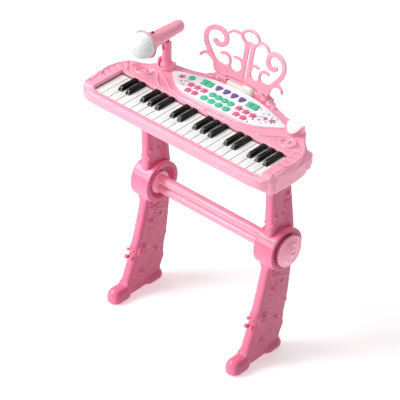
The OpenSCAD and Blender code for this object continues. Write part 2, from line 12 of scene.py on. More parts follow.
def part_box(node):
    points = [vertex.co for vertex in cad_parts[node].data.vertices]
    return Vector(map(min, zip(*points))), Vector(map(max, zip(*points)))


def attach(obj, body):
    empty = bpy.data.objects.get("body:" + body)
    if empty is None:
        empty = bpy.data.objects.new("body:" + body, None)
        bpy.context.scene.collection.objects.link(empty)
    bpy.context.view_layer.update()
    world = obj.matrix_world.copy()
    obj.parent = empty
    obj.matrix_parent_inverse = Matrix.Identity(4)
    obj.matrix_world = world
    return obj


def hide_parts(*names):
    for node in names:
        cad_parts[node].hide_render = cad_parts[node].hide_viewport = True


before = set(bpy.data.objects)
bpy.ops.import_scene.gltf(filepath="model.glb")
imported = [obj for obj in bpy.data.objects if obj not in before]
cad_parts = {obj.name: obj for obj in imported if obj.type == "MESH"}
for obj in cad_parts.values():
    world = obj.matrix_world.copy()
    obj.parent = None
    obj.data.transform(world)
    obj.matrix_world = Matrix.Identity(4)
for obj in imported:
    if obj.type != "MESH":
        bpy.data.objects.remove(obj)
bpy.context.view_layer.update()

MM = 0.001

# Shapes are laid out in millimetres. Lengths along Y run from a line KEY_GAP in front of the white keys,
# the same as in the CAD source.
KEY_GAP = 0.4
KEY_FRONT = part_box("white_key_01")[0].y - KEY_GAP * MM

# Heights of the casing's flat top and of the seam between its halves
CASING_TOP = 452
SEAM = 437

# Faces of the leg plates, middles of the two cups, and the collar's middle in Y and Z
LEG_IN, LEG_OUT = 140, 162
LEG_MIDDLE = (LEG_IN + LEG_OUT) / 2
CUP_X, CUP_Y = 152.5, 141
COLLAR = (104, 227)


def at(x, y, z):
    """A laid-out point as a place in the frame, in metres."""
    return Vector((x * MM, y * MM + KEY_FRONT, z * MM))


# ---- Camera, stage and lights ----

CAMERA_PLACE = Vector((1.9848, -2.1800, 2.3861))
CAMERA_AZIMUTH = 42.655
CAMERA_ELEVATION = 35.83
CAMERA_ROLL = 0.184
CAMERA_LENS = 181.0
SENSOR_WIDTH = 36.0

FLOOR_HALF = 6.0
FLOOR_SHADE = 0.97
FLOOR_GLOW = 0.3
WORLD_STRENGTH = 0.28


def make_camera():
    data = bpy.data.cameras.new("camera")
    data.lens = CAMERA_LENS
    data.sensor_width = SENSOR_WIDTH
    camera = bpy.data.objects.new("camera", data)
    bpy.context.scene.collection.objects.link(camera)
    turn = Matrix.Rotation(math.radians(CAMERA_AZIMUTH), 4, "Z")
    tilt = Matrix.Rotation(math.radians(90 - CAMERA_ELEVATION), 4, "X")
    roll = Matrix.Rotation(math.radians(CAMERA_ROLL), 4, "Z")
    camera.matrix_world = Matrix.Translation(CAMERA_PLACE) @ turn @ tilt @ roll
    bpy.context.scene.camera = camera


def make_stage():
    mesh = bpy.data.meshes.new("floor")
    corners = [(-FLOOR_HALF, -FLOOR_HALF, 0), (FLOOR_HALF, -FLOOR_HALF, 0),
               (FLOOR_HALF, FLOOR_HALF, 0), (-FLOOR_HALF, FLOOR_HALF, 0)]
    mesh.from_pydata(corners, [], [(0, 1, 2, 3)])
    floor = bpy.data.objects.new("floor", mesh)
    bpy.context.scene.collection.objects.link(floor)
    material = bpy.data.materials.new("floor")
    material.use_nodes = True
    shader = material.node_tree.nodes["Principled BSDF"]
    shader.inputs["Base Color"].default_value = (FLOOR_SHADE, FLOOR_SHADE, FLOOR_SHADE, 1)
    shader.inputs["Roughness"].default_value = 0.95
    shader.inputs["Emission Color"].default_value = (1, 1, 1, 1)
    shader.inputs["Emission Strength"].default_value = FLOOR_GLOW
    mesh.materials.append(material)


def area_light(name, place, target, size, power):
    """A square light of the given size in metres and power in watts, turned to the target."""
    data = bpy.data.lights.new(name, "AREA")
    data.energy = power
    data.size = size
    light = bpy.data.objects.new(name, data)
    bpy.context.scene.collection.objects.link(light)
    light.location = place
    light.rotation_euler = (Vector(target) - Vector(place)).to_track_quat("-Z", "Y").to_euler()


def make_lights():
    area_light("key", (-1.9, -1.5, 2.4), (0, 0, 0.3), 1.3, 58)
    area_light("front", (-1.4, -2.1, 1.25), (0, 0, 0.4), 0.8, 15)
    area_light("top", (-0.3, 0.5, 2.8), (0, 0, 0.3), 2.6, 30)
    area_light("right", (2.2, -0.8, 1.2), (0, 0, 0.4), 1.6, 7)
    world = bpy.data.worlds.new("studio")
    world.use_nodes = True
    background = world.node_tree.nodes["Background"]
    background.inputs["Color"].default_value = (1, 1, 1, 1)
    background.inputs["Strength"].default_value = WORLD_STRENGTH
    bpy.context.scene.world = world
    bpy.context.scene.view_settings.view_transform = "Standard"


# ---- Materials ----

# X, in metres, that parts the long lamp from the round one, and the light that the round one gives off
LAMP_SPLIT = 0.1
LAMP_GLOW = 0.35


def linear(code):
    """A six-digit screen colour as linear red, green and blue."""
    parts = [int(code[i:i + 2], 16) / 255 for i in (0, 2, 4)]
    return [c / 12.92 if c < 0.04045 else ((c + 0.055) / 1.055) ** 2.4 for c in parts]


def add_node(tree, kind, links=(), **settings):
    """A shader node with its settings, and its inputs set to values or linked to other nodes' outputs."""
    node = tree.nodes.new(kind)
    for name, value in settings.items():
        setattr(node, name, value)
    for socket, value in links:
        if isinstance(value, bpy.types.NodeSocket):
            tree.links.new(value, node.inputs[socket])
        else:
            node.inputs[socket].default_value = value
    return node


def ranged(tree, value, start, end, low=0.0, high=1.0):
    """Low where the value is at start, high where it is at end, and clamped outside."""
    return add_node(tree, "ShaderNodeMapRange", [
        ("Value", value), ("From Min", start), ("From Max", end), ("To Min", low), ("To Max", high),
    ]).outputs["Result"]


def noise(tree, scale, detail=3.0, low=0.0, high=1.0):
    """Noise in the object's own metres, stretched to run from low to high."""
    place = add_node(tree, "ShaderNodeTexCoord")
    source = add_node(tree, "ShaderNodeTexNoise",
                      [("Vector", place.outputs["Object"]), ("Scale", scale), ("Detail", detail)])
    return ranged(tree, source.outputs["Fac"], 0.3, 0.7, low, high)


def mixed(tree, share, first, second):
    """The first colour turning into the second as the share goes from 0 to 1."""
    node = tree.nodes.new("ShaderNodeMix")
    node.data_type = "RGBA"
    for socket, value in ((0, share), (6, first), (7, second)):
        if isinstance(value, bpy.types.NodeSocket):
            tree.links.new(value, node.inputs[socket])
        else:
            node.inputs[socket].default_value = value
    return node.outputs[2]


def painted_side_shade(tree):
    """One on the faces that look along X, where shade is painted: the keys' sides, as a painted shadow in the
    gaps between keys, and the legs' broad faces, as painted shade.
    """
    normal = add_node(tree, "ShaderNodeNewGeometry").outputs["Normal"]
    across = add_node(tree, "ShaderNodeSeparateXYZ", [("Vector", normal)]).outputs["X"]
    size = add_node(tree, "ShaderNodeMath", [(0, across)], operation="ABSOLUTE").outputs["Value"]
    return ranged(tree, size, 0.5, 0.9)


def plastic(name, code, roughness=0.35, mottle=0.05, wear_and_highlight=0.25, grain=0.04, grain_scale=700, sides=None,
            **sockets):
    """Moulded plastic: faint mottling, paler edges that are partly rubbed wear and partly a painted
    highlight, creases darkened with painted shade, uneven gloss and a fine skin.

    sides is a colour painted as shade onto the faces that look along X, and sockets are values for the
    shader's own sockets.
    """
    material = bpy.data.materials.new(name)
    material.use_nodes = True
    tree = material.node_tree
    shader = tree.nodes["Principled BSDF"]
    base = np.array(linear(code))
    darker = (*(base * (1 - mottle)), 1)
    lighter = (*np.minimum(base * (1 + mottle), 1), 1)
    pale_wear_and_highlight = (*(base + (1 - base) * 0.45), 1)
    crease_shade = (*(base ** 1.35), 1)
    surface = mixed(tree, noise(tree, 14), darker, lighter)
    bend = add_node(tree, "ShaderNodeNewGeometry").outputs["Pointiness"]
    # Convex edges turn paler: partly rubbed wear and partly a painted highlight.
    worn_and_highlit = ranged(tree, bend, 0.52, 0.6, 0.0, wear_and_highlight)
    patches = noise(tree, 60, 5.0, 0.35, 1.0)
    patchy = add_node(tree, "ShaderNodeMath", [(0, worn_and_highlit), (1, patches)], operation="MULTIPLY")
    surface = mixed(tree, patchy.outputs["Value"], surface, pale_wear_and_highlight)
    # Concave creases turn to a deeper tone of the colour: painted shade.
    surface = mixed(tree, ranged(tree, bend, 0.48, 0.4, 0.0, 0.6), surface, crease_shade)
    # Faces that look along X turn to the sides colour: painted shade.
    if sides:
        surface = mixed(tree, painted_side_shade(tree), surface, (*linear(sides), 1))
    tree.links.new(surface, shader.inputs["Base Color"])
    tree.links.new(noise(tree, 120, 4.0, roughness * 0.85, roughness * 1.2), shader.inputs["Roughness"])
    skin = add_node(tree, "ShaderNodeBump", [
        ("Height", noise(tree, grain_scale, 2.0)), ("Strength", grain), ("Distance", 0.0004)])
    tree.links.new(skin.outputs["Normal"], shader.inputs["Normal"])
    for socket, value in sockets.items():
        shader.inputs[socket.replace("_", " ")].default_value = value
    return material


def glowing(material):
    """Gives the round lamp in the right cup, beyond LAMP_SPLIT, a whiter and faintly lit body."""
    tree = material.node_tree
    shader = tree.nodes["Principled BSDF"]
    place = add_node(tree, "ShaderNodeTexCoord").outputs["Object"]
    x = add_node(tree, "ShaderNodeSeparateXYZ", [("Vector", place)]).outputs["X"]
    share = ranged(tree, x, LAMP_SPLIT, LAMP_SPLIT + 0.01)
    surface = shader.inputs["Base Color"].links[0].from_socket
    tree.links.new(mixed(tree, share, surface, (0.97, 0.97, 0.97, 1)), shader.inputs["Base Color"])
    shader.inputs["Emission Color"].default_value = (1, 1, 1, 1)
    glow = add_node(tree, "ShaderNodeMath", [(0, share), (1, LAMP_GLOW)], operation="MULTIPLY")
    tree.links.new(glow.outputs["Value"], shader.inputs["Emission Strength"])
    return material


def make_materials():
    soft = {"Subsurface_Weight": 0.12, "Subsurface_Scale": 0.004, "Coat_Weight": 0.35, "Coat_Roughness": 0.08}
    return {
        "pink_casing": plastic("pink_casing", "ffa8c0", 0.3, **soft),
        "pink_post": plastic("pink_post", "ffa0bd", 0.34, **soft),
        # The legs' broad faces take the darker pink sides colour: painted shade.
        "pink_stand": plastic("pink_stand", "ff7fa5", 0.34, mottle=0.06, sides="c4527a", **soft),
        # The white keys' sides take dark grey: a painted shadow in the gaps between keys.
        "white_key": plastic("white_key", "f4f4f2", 0.2, mottle=0.02, wear_and_highlight=0.1, grain=0.02, sides="3a3838",
                             Coat_Weight=0.3),
        "black_key": plastic("black_key", "060607", 0.14, mottle=0.15, wear_and_highlight=0.0, grain=0.03,
                             Specular_IOR_Level=0.4),
        "white_panel": plastic("white_panel", "fbf9fb", 0.32, mottle=0.015, wear_and_highlight=0.1),
        "green_button": plastic("green_button", "3ccaa0", 0.28, mottle=0.07, wear_and_highlight=0.35, Coat_Weight=0.2),
        "purple_button": plastic("purple_button", "665596", 0.3, mottle=0.08, wear_and_highlight=0.3, Coat_Weight=0.2),
        "rose_button": plastic("rose_button", "e8608e", 0.3, mottle=0.07, wear_and_highlight=0.35, Coat_Weight=0.2),
        "lens": glowing(plastic("lens", "e9e4da", 0.2, mottle=0.04, wear_and_highlight=0.2, Coat_Weight=0.4)),
        "grille": plastic("grille", "f5f8f7", 0.26, mottle=0.05, wear_and_highlight=0.35, Coat_Weight=0.3),
        "dark_trim": plastic("dark_trim", "2b2b30", 0.4, mottle=0.2, grain=0.12),
        "circuit_board": plastic("circuit_board", "1f6b3c", 0.45, mottle=0.25, grain=0.2, grain_scale=300),
        "speaker": plastic("speaker", "35353a", 0.6, mottle=0.3, grain=0.3, grain_scale=500),
        "steel": plastic("steel", "b9bcc2", 0.3, mottle=0.15, grain=0.1, Metallic=1.0),
        "magenta_print": plastic("magenta_print", "c81f86", 0.4, mottle=0.12, grain=0.1),
        "violet_print": plastic("violet_print", "6f3f9c", 0.4, mottle=0.12, grain=0.1),
        "lavender_print": plastic("lavender_print", "b89bd4", 0.4, mottle=0.1, grain=0.1),
    }


# ---- Mesh tools ----

WELD = 2e-6
SEAM_LAP = 0.8
ROLL_WIDTH, ROLL_DEPTH = 3.4, 2.4


def welded(node):
    """A closed copy of a CAD node's mesh, without the edges that only split its flat faces."""
    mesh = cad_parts[node].data.copy()
    mesh.materials.clear()
    bm = bmesh.new()
    bm.from_mesh(mesh)
    bmesh.ops.remove_doubles(bm, verts=bm.verts, dist=WELD)
    bmesh.ops.dissolve_limit(bm, angle_limit=math.radians(1), verts=bm.verts, edges=bm.edges)
    bm.to_mesh(mesh)
    bm.free()
    return mesh


def applied(mesh, *steps):
    """The mesh after a row of modifiers, each given as its kind and its settings."""
    carrier = bpy.data.objects.new("carrier", mesh)
    bpy.context.scene.collection.objects.link(carrier)
    for kind, settings in steps:
        modifier = carrier.modifiers.new(kind, kind)
        for name, value in settings.items():
            setattr(modifier, name, value)
    result = bpy.data.meshes.new_from_object(carrier.evaluated_get(bpy.context.evaluated_depsgraph_get()))
    bpy.data.objects.remove(carrier)
    return result


def moulded(mesh, voxel, rounds, swell=0.0, crisp=None):
    """One closed skin round the mesh, with softened edges, except near the height of a crisp seam.

    At a crisp seam the meeting edges go SEAM_LAP into each other, so that no gap shows.
    """
    skin = applied(mesh, ("REMESH", {"mode": "VOXEL", "voxel_size": voxel * MM, "use_smooth_shade": True}))
    soft = applied(
        skin,
        ("SMOOTH", {"factor": 0.5, "iterations": rounds}),
        ("DISPLACE", {"strength": swell * MM, "mid_level": 0.0}),
    )
    if crisp is not None:
        sharp, smooth = points_of(skin), points_of(soft)
        above = sharp[:, 2] / MM - crisp
        points = sharp + (smooth - sharp) * smoothstep(np.abs(above), 1.5, 4)[:, None]
        meeting = SEAM_LAP if above.mean() < 0 else -SEAM_LAP
        points[:, 2] += meeting * (1 - smoothstep(np.abs(above), 0.6, 2)) * MM
        put_points(soft, points)
    return soft


def thinned(mesh, share):
    """The mesh with only this share of its faces."""
    return applied(mesh, ("DECIMATE", {"ratio": share}))


def bevelled(mesh, width):
    """The mesh with its edges rounded over a width in millimetres."""
    settings = {"width": width * MM, "segments": 3, "limit_method": "ANGLE", "angle_limit": math.radians(25)}
    result = applied(mesh, ("BEVEL", settings))
    result.shade_smooth()
    result.set_sharp_from_angle(angle=math.radians(35))
    return result


def piece(name, mesh, body, slot, material, *nodes):
    """The mesh as a piece that rides on a body, with its finish, standing for the CAD nodes."""
    mesh.materials.clear()
    mesh.materials.append(material)
    thing = bpy.data.objects.new(name, mesh)
    bpy.context.scene.collection.objects.link(thing)
    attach(thing, body)
    if nodes:
        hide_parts(*nodes)
    return thing


def points_of(mesh):
    co = np.empty(len(mesh.vertices) * 3)
    mesh.vertices.foreach_get("co", co)
    return co.reshape(-1, 3)


def normals_of(mesh):
    out = np.empty(len(mesh.vertices) * 3)
    mesh.vertex_normals.foreach_get("vector", out)
    return out.reshape(-1, 3)


def put_points(mesh, points):
    mesh.vertices.foreach_set("co", np.asarray(points, np.float32).ravel())
    mesh.update()


def distance_to(line, flat):
    """Distance of each flat point from a line of points."""
    best = np.full(len(flat), 1e9)
    if len(line) == 1:
        return np.linalg.norm(flat - line[0], axis=1)
    for a, b in zip(line[:-1], line[1:]):
        along = b - a
        t = np.clip(((flat - a) @ along) / max(along @ along, 1e-12), 0, 1)
        best = np.minimum(best, np.linalg.norm(flat - (a + t[:, None] * along), axis=1))
    return best


def emboss(mesh, axis, lines, sides=(1, -1)):
    """Raises (or sinks) the faces that look along an axis (0 or 2) near each line of laid-out millimetres.

    A line is (points, half width, height). On axis 0 its points are Y and Z, on axis 2 they are X and Y.
    """
    co = points_of(mesh)
    facing = normals_of(mesh)[:, axis]
    laid = co / MM
    laid[:, 1] -= KEY_FRONT / MM
    flat = laid[:, 1:] if axis == 0 else laid[:, :2]
    lift = np.zeros(len(co))
    for points, half, height in lines:
        line = np.array(points, float)
        low, high = line.min(0) - half, line.max(0) + half
        near = np.flatnonzero(((flat >= low) & (flat <= high)).all(1))
        if len(near):
            reach = distance_to(line, flat[near])
            lift[near] += height * np.cos(np.clip(reach / half, 0, 1) * math.pi / 2) ** 2
    weight = np.zeros(len(co))
    for side in sides:
        turned = np.clip((facing * side - 0.35) / 0.4, 0, 1)
        weight += side * turned * turned * (3 - 2 * turned)
    co[:, axis] += lift * weight * MM
    put_points(mesh, co)
    return mesh


def smoothstep(value, low, high):
    t = np.clip((value - low) / (high - low), 0, 1)
    return t * t * (3 - 2 * t)


def rolled_over(mesh):
    """Lets the top of the casing roll over into its side."""
    co, normals = points_of(mesh), normals_of(mesh)
    outward = co[:, :2] - co[:, :2].mean(0)
    wall = (np.abs(co[:, 2] / MM - (CASING_TOP - 8)) < 1) & (np.abs(normals[:, 2]) < 0.4)
    wall &= (normals[:, :2] * outward).sum(1) > 0
    tree = KDTree(int(wall.sum()))
    for number, (x, y) in enumerate(co[wall][:, :2]):
        tree.insert((x, y, 0), number)
    tree.balance()
    away = away_from_cups(co)
    for i in np.flatnonzero(co[:, 2] / MM > CASING_TOP - 5):
        reach = tree.find((co[i, 0], co[i, 1], 0))[2] / MM
        if reach < ROLL_WIDTH:
            roll = 1 - math.sqrt(1 - (1 - reach / ROLL_WIDTH) ** 2)
            high = smoothstep(co[i, 2] / MM, CASING_TOP - 5, CASING_TOP - 1)
            co[i, 2] -= ROLL_DEPTH * roll * high * away[i] * MM
    put_points(mesh, co)
    return mesh


def rounded_front(mesh, middle, radius, low, high):
    """Turns the flat front edges of the plates at X = +-middle into half rounds, between two heights."""
    co = points_of(mesh)
    z = co[:, 2] / MM
    y = (co[:, 1] - KEY_FRONT) / MM
    side = np.sign(co[:, 0])
    across = np.abs(co[:, 0]) / MM - middle
    band = np.round(z / 3).astype(int)
    plate = np.abs(across) < radius + 0.5
    front = np.full(band.max() + 2, 1e9)
    np.minimum.at(front, band[plate], y[plate])
    near = np.clip(1 - (y - front[band]) / radius, 0, 1)
    fade = smoothstep(z, low, low + 12) * (1 - smoothstep(z, high - 12, high))
    share = 1 - (1 - np.sqrt(1 - near ** 2)) * fade * plate * 0.85
    co[:, 0] = side * (middle + across * share) * MM
    put_points(mesh, co)
    return mesh


def crowned(mesh, drop, reach):
    """Rounds off the top of each separate solid: its rim sinks by drop at reach from its middle."""
    bm = bmesh.new()
    bm.from_mesh(mesh)
    bm.verts.ensure_lookup_table()
    seen = set()
    for start in bm.verts:
        if start.index in seen:
            continue
        island, queue = [], [start]
        seen.add(start.index)
        while queue:
            vertex = queue.pop()
            island.append(vertex)
            for edge in vertex.link_edges:
                other = edge.other_vert(vertex)
                if other.index not in seen:
                    seen.add(other.index)
                    queue.append(other)
        low = Vector([min(v.co[i] for v in island) for i in range(3)])
        high = Vector([max(v.co[i] for v in island) for i in range(3)])
        middle = (low + high) / 2
        for vertex in island:
            upper = max(0.0, (vertex.co.z - (high.z - 3 * MM)) / (3 * MM))
            away = (vertex.co - middle).xy.length / (reach * MM)
            vertex.co.z -= upper * drop * MM * min(away * away, 1.4)
    bm.to_mesh(mesh)
    bm.free()
    return mesh


def with_beads(mesh, beads):
    """Adds balls along lines of laid-out points, to be moulded into one skin with the mesh."""
    bm = bmesh.new()
    bm.from_mesh(mesh)
    for points, radius in beads:
        stops = [at(*p) for p in points]
        if len(stops) > 1:
            step = radius * MM * 0.5
            stops = [a.lerp(b, k / n) for a, b in zip(stops[:-1], stops[1:])
                     for n in [max(1, round((b - a).length / step))] for k in range(n + 1)]
        for stop in stops:
            place = Matrix.Translation(stop)
            bmesh.ops.create_icosphere(bm, subdivisions=2, radius=radius * MM, matrix=place)
    bm.to_mesh(mesh)
    bm.free()
    return mesh


def mirrored(lines):
    """The lines and their mirror images across the middle."""
    return lines + [([(-x, y) for x, y in points], half, height) for points, half, height in lines]


def curve(points, steps=6):
    """A smooth line through the points."""
    p = [points[0], *points, points[-1]]
    out = []
    for a, b, c, d in zip(p, p[1:], p[2:], p[3:]):
        a, b, c, d = (np.array(q, float) for q in (a, b, c, d))
        for k in range(steps):
            t = k / steps
            out.append(0.5 * (2 * b + (c - a) * t + (2 * a - 5 * b + 4 * c - d) * t * t
                              + (3 * b - a - 3 * c + d) * t ** 3))
    return [tuple(q) for q in out] + [tuple(points[-1])]


def spiral(middle, inner, outer, end, turns, steps=40):
    """A spiral that opens anticlockwise and ends at the angle end, in degrees."""
    out = []
    for k in range(steps + 1):
        t = k / steps
        angle = math.radians(end - 360 * turns * (1 - t))
        r = inner + (outer - inner) * t
        out.append((middle[0] + r * math.cos(angle), middle[1] + r * math.sin(angle)))
    return out


def arc(middle, radius, first, last, steps=14):
    """An arc between two angles in degrees."""
    angles = [math.radians(first + (last - first) * k / steps) for k in range(steps + 1)]
    return [(middle[0] + radius * math.cos(a), middle[1] + radius * math.sin(a)) for a in angles]


# ---- Casing ----

# The raised ends stop at this outline, X against Y. The ends and the strip behind the keys rise by
# END_RISE and BACK_RISE. SIGHT is how far a point moves in X and Y for each millimetre that it is lifted,
# to stay on its line of sight from the camera.
RIM_Y = (40, 60, 81, 101, 118)
RIM_X = (223, 223, 218, 208.6, 192)
END_RISE, BACK_RISE = 7, 5
SIGHT = (0.939, -1.018)


def cheek_rise(x, y):
    """How far the moulded top stands above the flat plate: high at the two ends, lower behind the keys."""
    x = np.abs(x)
    along = smoothstep(y, -12, 4) * (1 - smoothstep(y, 98, 124))
    end = smoothstep(x, 186, 199) * along * (1 - smoothstep(x - np.interp(y, RIM_Y, RIM_X), 1, 3.5))
    reach = 94 + 22 * smoothstep(x, 60, 150)
    back = smoothstep(y, 68, 73) * (1 - smoothstep((y - 74) / (reach - 74), 0.15, 1))
    return np.maximum(END_RISE * end, BACK_RISE * back * (1 - smoothstep(x, 196, 204)))


def lifted(points):
    """Points laid out at the flat top's height, moved along the line of sight to the raised top."""
    out = []
    for x, y in points:
        rise = 0.0
        for _ in range(8):
            rise = 0.5 * rise + 0.5 * float(cheek_rise(x + SIGHT[0] * rise, y + SIGHT[1] * rise))
        out.append((x + SIGHT[0] * rise, y + SIGHT[1] * rise))
    return out


def casing_relief():
    """Scrolls, rims and flutes of the top, laid out for the right half and mirrored."""
    scroll = curve([(112, 88), (126, 95), (138, 104), (150, 113.5), (163, 118.5), (175, 115.5), (181.5, 107),
                    (180.5, 97), (172.5, 92), (162, 93), (154.5, 99), (155, 107), (161, 111), (167, 110),
                    (168, 105)])
    sweep = curve([(161, 121), (154, 120), (143, 117), (130, 111), (115, 104), (96, 93), (75, 87), (45, 84.5),
                   (0, 84)])
    outer_rim = curve([(186, 123), (200, 109), (209, 96), (214.5, 80.5), (216, 65), (214.5, 52), (208, 40)])
    fold = curve([(220.9, 47.4), (214.6, 40.1), (210.6, 30.1), (209.7, 18.4), (213, 7)])
    valley = curve([(178, 120), (186, 114), (191, 103), (190, 92), (184, 86)])
    flutes = [((199.6, 47.1), (212, 51.5)), ((199.6, 62.4), (211, 65.9)), ((198.6, 76.2), (209.7, 79.4)),
              ((195.4, 90.1), (205.2, 93.5)), ((192.6, 100.7), (200.2, 104.9))]
    lines = [(scroll, 2.6, 3), (sweep, 3, 2.4), (outer_rim, 2.8, 3), (fold, 2.6, 2.2), (valley, 3.4, -2)]
    lines += [(list(flute), 2.3, -3.8) for flute in flutes]
    lines = [(lifted(points), half, height) for points, half, height in lines]
    bar = [([(-206, -13.4), (206, -13.4)], 2.3, -3.2), ([(-206, -17), (206, -17)], 2.2, 2),
           ([(-199, -3.4), (199, -3.4)], 3, -1.2)]
    return mirrored(lines) + bar


def away_from_cups(co):
    """Falls to nothing at the two cups, whose thin petals take no relief."""
    near = np.hypot(np.abs(co[:, 0]) / MM - CUP_X, (co[:, 1] - KEY_FRONT) / MM - CUP_Y)
    return smoothstep(near, 18.5, 22)


def raised_ends(mesh):
    """Lifts the casing's top to its raised shape, and leaves what is under it."""
    co = points_of(mesh)
    rise = cheek_rise(co[:, 0] / MM, (co[:, 1] - KEY_FRONT) / MM)
    top = smoothstep(co[:, 2] / MM, CASING_TOP - 2.2, CASING_TOP - 0.4)
    co[:, 2] += rise * top * away_from_cups(co) * MM
    put_points(mesh, co)
    return mesh


# X, Y, Z and radius of the round lobes on each side of the bracket
LOBES = ((54, 175, 457, 9.5), (67, 173, 452.5, 9), (79, 169, 450, 7))


def lobed_bracket(mesh):
    """Brings the ends of the block behind the panel down to its three round lobes."""
    co = points_of(mesh)
    x, y, z = np.abs(co[:, 0]) / MM, (co[:, 1] - KEY_FRONT) / MM, co[:, 2] / MM
    cap = np.full(len(co), float(CASING_TOP))
    for middle, _, level, radius in LOBES:
        cap = np.maximum(cap, level + np.sqrt(np.maximum(radius ** 2 - (x - middle) ** 2, 0)))
    high = (x > 54) & (x < 90) & (y > 160) & (z > cap)
    co[high, 2] = cap[high] * MM
    put_points(mesh, co)
    return mesh


def make_casing(materials):
    lobes = [([(side * x, y, z)], r) for side in (-1, 1) for x, y, z, r in LOBES]
    strip = [([(-34, 164.6, 453.6), (0, 165.4, 453.8), (34, 164.6, 453.6)], 1.7)]
    upper = moulded(with_beads(welded("upper_casing"), lobes + strip), 0.9, 3, crisp=SEAM)
    upper = rolled_over(raised_ends(lobed_bracket(upper)))
    upper = thinned(emboss(upper, 2, casing_relief(), sides=(1,)), 0.6)
    lower = thinned(moulded(welded("lower_casing"), 1.2, 2, crisp=SEAM), 0.35)
    pink = materials["pink_casing"]
    piece("upper_casing_moulding", upper, "stand_and_casing", "pink_casing", pink, "upper_casing")
    piece("lower_casing_moulding", lower, "stand_and_casing", "pink_casing", pink, "lower_casing")


# ---- Keys, panel and buttons ----

KEY_BEVEL = 0.75


def make_keys(materials):
    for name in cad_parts:
        for kind in ("white_key", "black_key"):
            if name.startswith(kind):
                mesh = bevelled(welded(name), KEY_BEVEL)
                piece(f"{name}_moulding", mesh, name, kind, materials[kind], name)


def rocker_marks(low, high):
    """A dip across the middle of a rocker and an arrow head at each end."""
    middle = (low.x + high.x) / 2 / MM
    y = ((low.y + high.y) / 2 - KEY_FRONT) / MM
    marks = [([(middle, y - 6.5), (middle, y + 6.5)], 2.2, -1.5)]
    for side in (-1, 1):
        tip = middle + side * 7.5
        marks.append(([(tip, y - 2), (tip - side * 3, y), (tip, y + 2), (tip, y - 2)], 0.8, 0.45))
    return marks


def make_buttons(materials):
    """The buttons' caps. A row is a node, its finish, and how far the rim drops at which reach."""
    rows = [
        ("power_button", "green_button", 1.0, 6.5), ("mode_buttons", "purple_button", 0.9, 7.5),
        ("rhythm_buttons", "green_button", 1.1, 7), ("sound_buttons", "rose_button", 1.0, 7.5),
        ("volume_rocker", "green_button", 0.9, 14), ("tempo_rocker", "green_button", 0.9, 14),
    ]
    for node, slot, drop, reach in rows:
        low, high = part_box(node)
        rocker = node.endswith("rocker")
        mesh = crowned(moulded(welded(node), 0.35, 3, swell=0.0 if rocker else 0.1), drop, reach)
        co = points_of(mesh)
        co[:, 2] = np.maximum(co[:, 2], low.z)
        put_points(mesh, co)
        if rocker:
            emboss(mesh, 2, rocker_marks(low, high), sides=(1,))
        piece(f"{node}_moulding", thinned(mesh, 0.5), node, slot, materials[slot], node)


def flower(x, y, r):
    """An outline with five petals."""
    turns = [math.radians(6 * k) for k in range(60)]
    return [(x + r * (0.74 + 0.26 * math.cos(5 * a)) * math.cos(a),
             y + r * (0.74 + 0.26 * math.cos(5 * a)) * math.sin(a)) for a in turns]


def dot(x, y, r):
    return arc((x, y), r, 0, 337.5, 15)


def stem(x, y, height, lean):
    return [(x, y), (x + 0.7, y), (x + 0.7 + lean, y + height), (x + lean, y + height)]


def wave_line(x, y, length, rise):
    """A thin band that runs in one wave."""
    top = [(x + length * k / 16, y + rise * math.sin(2 * math.pi * k / 16) + 0.3) for k in range(17)]
    return top + [(q, p - 0.6) for q, p in reversed(top)]


def note(x, y):
    """Two music notes side by side."""
    return [dot(x, y, 1.3), stem(x + 0.7, y, 5.5, 0.6),
            dot(x + 5, y + 1.4, 1.3), stem(x + 5.7, y + 1.4, 5, 0.6)]


# Height from which the prints are dropped on the panel, the step between two colours, and the ink's depth
PRINT_DROP = 480
PRINT_STEP = 0.04
PRINT_DEPTH = 0.2


def make_prints(materials):
    """Flowers, dots and music notes printed on the panel, as thin layers of ink."""
    panel = BVHTree.FromObject(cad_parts["control_panel"], bpy.context.evaluated_depsgraph_get())
    layers = {
        "magenta_print": [
            flower(107, 133, 7.6), flower(-107, 133, 7.6), flower(94, 130, 5), dot(80, 113, 1.9),
            dot(96, 114, 1.7), dot(102, 122, 1.6), dot(-96, 120, 1.6), dot(77, 101, 2),
            flower(88, 119.5, 3.4), dot(70, 146, 1.8), dot(-84, 112, 1.6)],
        "violet_print": [dot(90, 144, 1.8), dot(82, 139, 1.5), dot(110, 143, 1.3), dot(100, 142, 1.4),
                         *note(86, 131), *note(-92, 124), dot(-99, 121, 1.1)],
        "lavender_print": [flower(107, 133, 2.6), flower(-107, 133, 2.6), wave_line(78, 124, 22, 2.2),
                           wave_line(80, 127, 20, 2.2), wave_line(-101, 116, 18, 2), *note(-91, 112),
                           dot(88, 109, 1)],
    }
    for height, (name, outlines) in enumerate(layers.items(), 1):
        bm = bmesh.new()
        for outline in outlines:
            ring = []
            for x, y in outline:
                hit = panel.ray_cast(at(x, y, PRINT_DROP), Vector((0, 0, -1)))[0]
                ring.append(bm.verts.new(hit + Vector((0, 0, PRINT_STEP * height * MM))))
            bm.faces.new(ring)
        mesh = bpy.data.meshes.new(name)
        bm.to_mesh(mesh)
        bm.free()
        mesh = applied(mesh, ("SOLIDIFY", {"thickness": PRINT_DEPTH * MM, "offset": -1}))
        piece(f"panel_{name}", mesh, "stand_and_casing", "white_panel", materials[name])


def make_panel(materials):
    make_prints(materials)
    mesh = bevelled(welded("control_panel"), 0.3)
    piece("control_panel_moulding", mesh, "stand_and_casing", "white_panel", materials["white_panel"],
          "control_panel")


# ---- Lamps and music rest ----

# Axis and radius of the long lens, and the X where its swelling is highest and how far it reaches
LAMP_Y, LAMP_Z, LAMP_R = 172.4, 457.5, 7.9
SWELL_X, SWELL_REACH = 19, 15.5


